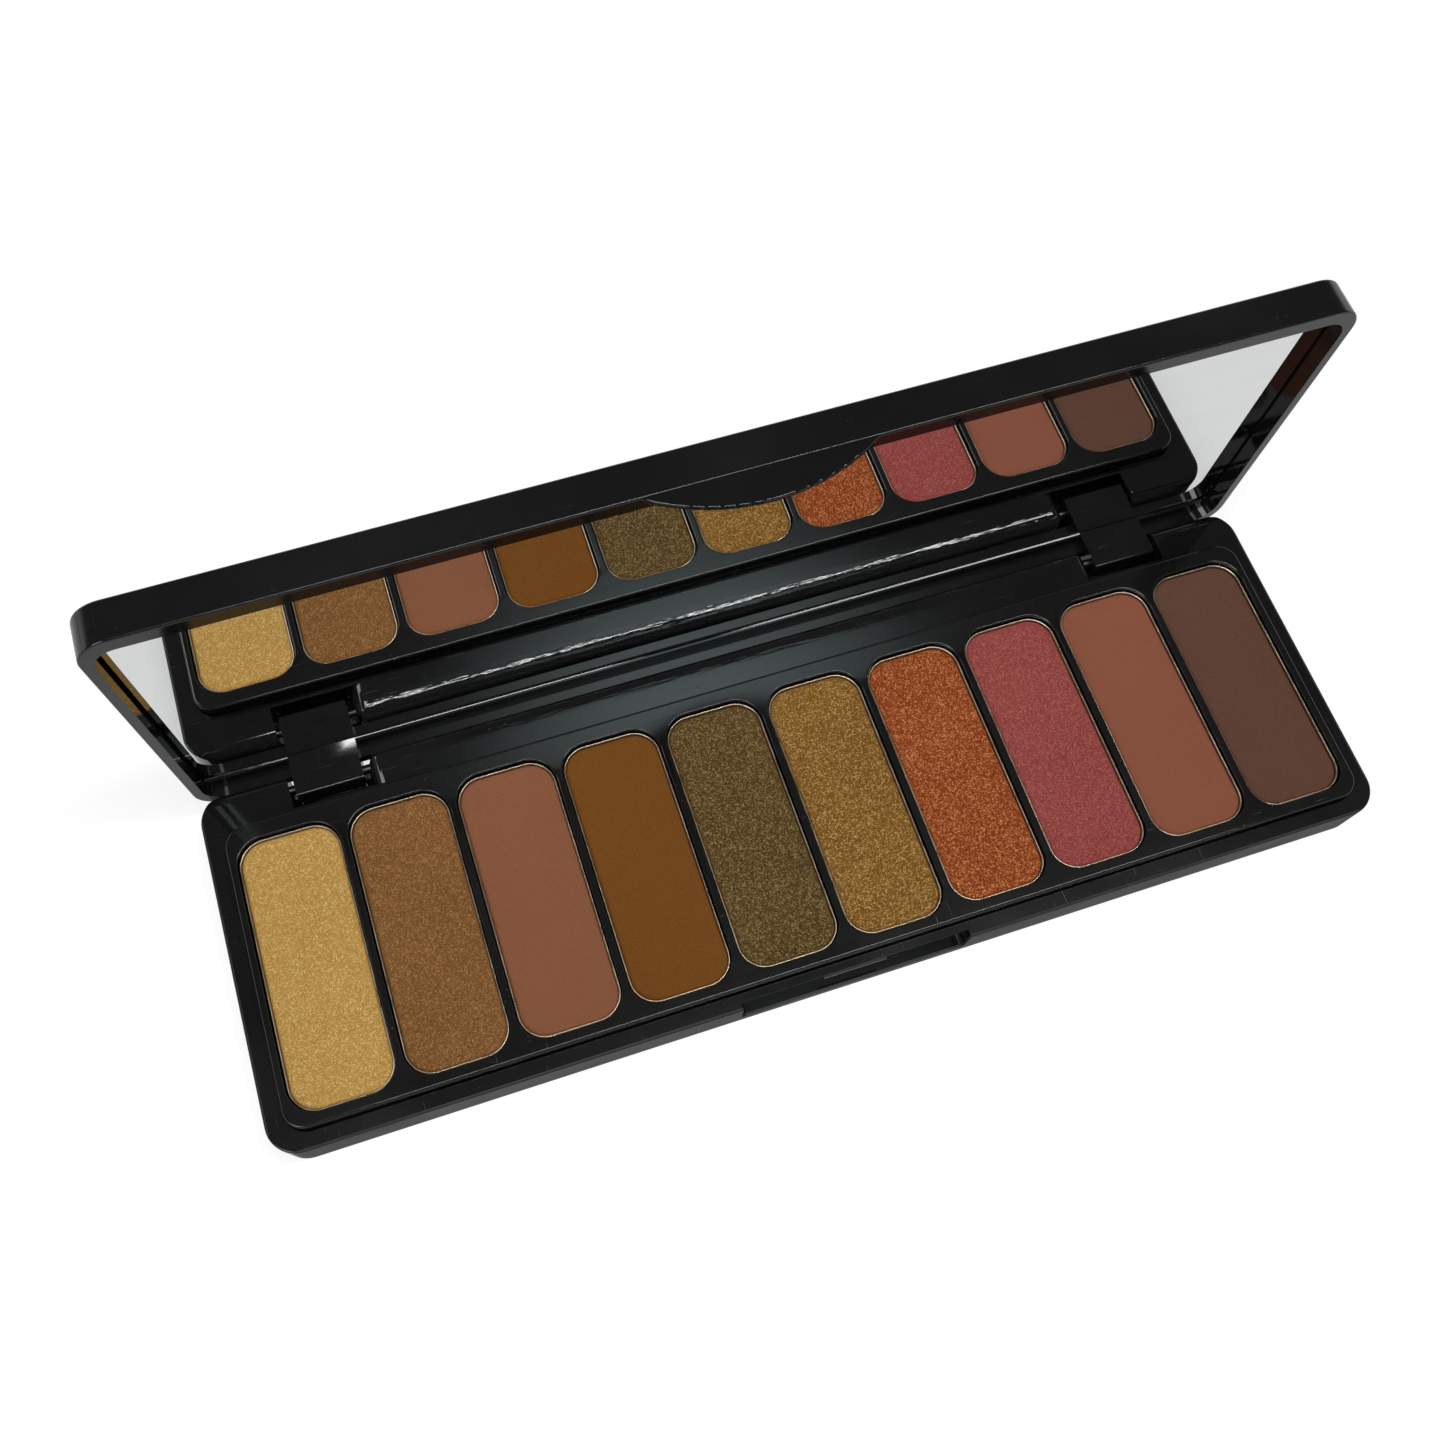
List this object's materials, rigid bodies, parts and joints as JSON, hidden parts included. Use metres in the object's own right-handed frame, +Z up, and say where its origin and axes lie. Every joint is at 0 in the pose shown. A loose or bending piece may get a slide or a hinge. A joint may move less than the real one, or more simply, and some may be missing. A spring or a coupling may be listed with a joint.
{
  "type": "eyeshadow palette",
  "caption": "Slim black eyeshadow palette with a row of pressed powder pans in a raised tray, a hinged lid with a full mirror and a half-moon thumb tab",
  "frame": {"origin": "Centre of the base's flat underside", "axes": "+X to the right along the row of pans, +Y from the thumb recess to the hinge, +Z up out of the pans"},
  "size_m": [0.1682, 0.0598, 0.0573],
  "materials": {
    "black_plastic": "moulded ABS, satin on the tray and polished on the rims",
    "pan_aluminium": "pressed bright sheet",
    "pin_steel": "drawn wire",
    "mirror_glass": "back-silvered glass",
    "tape_foam": "thin acrylic tape",
    "clear_glue": "cured flexible glue",
    "powder_01": "pressed powder, pale gold shimmer",
    "powder_02": "pressed powder, bronze brown shimmer",
    "powder_03": "pressed powder, dusty brown matte",
    "powder_04": "pressed powder, ochre matte",
    "powder_05": "pressed powder, olive shimmer",
    "powder_06": "pressed powder, gold brown shimmer",
    "powder_07": "pressed powder, copper metallic",
    "powder_08": "pressed powder, raspberry shimmer",
    "powder_09": "pressed powder, terracotta matte",
    "powder_10": "pressed powder, dark brown matte"
  },
  "bodies": {
    "base": {"base_shell": "black_plastic", "pan_tray": "black_plastic", "pan_glue": "clear_glue", "pan_01": "pan_aluminium", "powder_01": "powder_01", "pan_02": "pan_aluminium", "powder_02": "powder_02", "pan_03": "pan_aluminium", "powder_03": "powder_03", "pan_04": "pan_aluminium", "powder_04": "powder_04", "pan_05": "pan_aluminium", "powder_05": "powder_05", "pan_06": "pan_aluminium", "powder_06": "powder_06", "pan_07": "pan_aluminium", "powder_07": "powder_07", "pan_08": "pan_aluminium", "powder_08": "powder_08", "pan_09": "pan_aluminium", "powder_09": "powder_09", "pan_10": "pan_aluminium", "powder_10": "powder_10", "hinge_pin_left": "pin_steel", "hinge_pin_right": "pin_steel"},
    "lid": {"lid_shell": "black_plastic", "mirror": "mirror_glass", "mirror_tape": "tape_foam"}
  },
  "joints": [
    {"name": "lid_hinge", "type": "hinge", "parent": "base", "child": "lid", "pos_m": [0, 0.0249, 0.0055], "axis": [-1, 0, 0], "range_deg": [-90, 5]}
  ]
}
